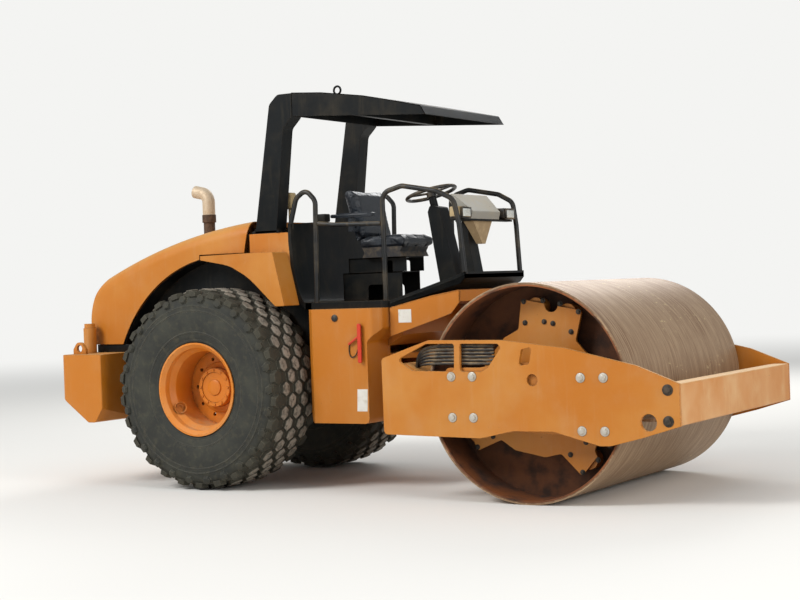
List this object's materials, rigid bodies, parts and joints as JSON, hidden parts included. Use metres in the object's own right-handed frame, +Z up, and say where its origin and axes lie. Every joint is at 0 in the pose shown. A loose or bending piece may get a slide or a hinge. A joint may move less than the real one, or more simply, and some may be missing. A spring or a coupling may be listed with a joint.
{
  "type": "single drum soil compactor",
  "caption": "Articulated road roller: a smooth steel drum in a steered front frame, driven rear tyres, tilting engine hood and open platform under a canopy.",
  "frame": {"origin": "middle of the machine's length and width, on the ground", "axes": "+X forward to the drum, +Y to the machine's left, +Z up"},
  "size_m": [5.34, 2.21, 3.0278],
  "materials": {
    "orange_paint": "faded orange enamel, dusty and chipped",
    "frame_orange": "faded orange enamel on frame plates, rust at the edges",
    "wheel_orange": "dusty orange enamel on the rims",
    "black_paint": "satin black enamel under tan dust",
    "rail_black": "worn black enamel on tube",
    "drum_steel": "rolled steel, brown rust film with scuffs",
    "tyre_rubber": "dusty grey black rubber",
    "axle_paint": "black paint on castings, oily dust",
    "engine_iron": "painted castings",
    "seat_vinyl": "blue black vinyl, worn",
    "suspension_rubber": "rubber bellows",
    "dash_grey": "grey enamel, scratched",
    "wheel_plastic": "moulded black plastic",
    "lamp_housing": "black housing with a clear lens",
    "exhaust_steel": "pale rusty steel",
    "rod_chrome": "hard chrome",
    "lock_red": "red enamel",
    "filler_cap": "orange enamel, pale cap"
  },
  "bodies": {
    "rear_frame": {"pivot_pin": "axle_paint", "main_frame": "frame_orange", "rear_axle": "axle_paint", "engine": "engine_iron", "rear_cowl": "orange_paint", "canopy_roof": "black_paint", "platform_floor": "black_paint", "platform_nose": "orange_paint", "seat_base": "black_paint", "seat_suspension": "suspension_rubber", "seat_cushion": "seat_vinyl", "seat_back": "seat_vinyl", "seat_armrest": "seat_vinyl", "steering_column": "black_paint", "dash_panel": "dash_grey", "lamp_stand": "black_paint", "work_lamps": "lamp_housing", "side_bar": "rail_black", "counterweight": "orange_paint", "filler_neck": "filler_cap", "lock_bar": "lock_red", "side_steps": "rail_black", "side_tank_left": "orange_paint", "side_tank_right": "orange_paint", "wheel_arch_left": "black_paint", "wheel_arch_right": "black_paint", "fender_left": "orange_paint", "fender_right": "orange_paint", "canopy_post_left": "black_paint", "canopy_post_right": "black_paint", "rear_hoop_left": "rail_black", "rear_hoop_right": "rail_black", "front_rail_left": "rail_black", "front_rail_right": "rail_black"},
    "wheel_left": {"tyre_left": "tyre_rubber", "wheel_rim_left": "wheel_orange"},
    "wheel_right": {"tyre_right": "tyre_rubber", "wheel_rim_right": "wheel_orange"},
    "drum": {"drum_shell": "drum_steel", "drive_plate_left": "frame_orange", "drive_plate_right": "frame_orange"},
    "hitch": {"hitch": "axle_paint"},
    "yoke": {"yoke_plate_left": "frame_orange", "yoke_plate_right": "frame_orange", "yoke_front_beam": "frame_orange", "yoke_rear_beam": "frame_orange", "drum_scrapers": "drum_steel", "drum_motor_left": "frame_orange", "drum_motor_right": "frame_orange"},
    "hood": {"hood": "orange_paint", "exhaust": "exhaust_steel"},
    "hand_wheel": {"steering_wheel": "wheel_plastic"},
    "barrel_left": {"steering_barrel_left": "axle_paint"},
    "barrel_right": {"steering_barrel_right": "axle_paint"},
    "rod_left": {"steering_rod_left": "rod_chrome"},
    "rod_right": {"steering_rod_right": "rod_chrome"}
  },
  "joints": [
    {"name": "wheel_left_spin", "type": "hinge", "parent": "rear_frame", "child": "wheel_left", "pos_m": [-1.27, 0.755, 0.77], "axis": [0, 1, 0], "continuous": true},
    {"name": "wheel_right_spin", "type": "hinge", "parent": "rear_frame", "child": "wheel_right", "pos_m": [-1.27, -0.755, 0.77], "axis": [0, 1, 0], "continuous": true},
    {"name": "steer", "type": "hinge", "parent": "rear_frame", "child": "hitch", "pos_m": [0.33, 0, 0.75], "axis": [0, 0, 1], "range_deg": [-35, 35]},
    {"name": "frame_roll", "type": "hinge", "parent": "hitch", "child": "yoke", "pos_m": [0.33, 0, 0.75], "axis": [1, 0, 0], "range_deg": [-10, 10]},
    {"name": "drum_spin", "type": "hinge", "parent": "yoke", "child": "drum", "pos_m": [1.55, 0, 0.75], "axis": [0, 1, 0], "continuous": true},
    {"name": "hood_open", "type": "hinge", "parent": "rear_frame", "child": "hood", "pos_m": [-1.008, 0, 2.006], "axis": [0, 1, 0], "range_deg": [0, 50]},
    {"name": "hand_wheel_turn", "type": "hinge", "parent": "rear_frame", "child": "hand_wheel", "pos_m": [0.266, 0, 2.205], "axis": [-0.2588, 0, 0.9659], "continuous": true},
    {"name": "barrel_left_swing", "type": "hinge", "parent": "rear_frame", "child": "barrel_left", "pos_m": [-0.23, 0.14, 0.64], "axis": [0, 0, 1], "range_deg": [-6.55, 6.55]},
    {"name": "rod_left_slide", "type": "slide", "parent": "barrel_left", "child": "rod_left", "axis": [0.9929, 0.1186, 0], "range_m": [-0.12252, 0.12252]},
    {"name": "barrel_right_swing", "type": "hinge", "parent": "rear_frame", "child": "barrel_right", "pos_m": [-0.23, -0.14, 0.64], "axis": [0, 0, 1], "range_deg": [-6.55, 6.55]},
    {"name": "rod_right_slide", "type": "slide", "parent": "barrel_right", "child": "rod_right", "axis": [0.9929, -0.1186, 0], "range_m": [-0.12252, 0.12252]}
  ],
  "couplings": [
    {"joint": "barrel_left_swing", "follows": "steer", "ratio": 0.18347},
    {"joint": "rod_left_slide", "follows": "steer", "m_per_rad": -0.19859},
    {"joint": "barrel_right_swing", "follows": "steer", "ratio": 0.18347},
    {"joint": "rod_right_slide", "follows": "steer", "m_per_rad": 0.19859}
  ]
}
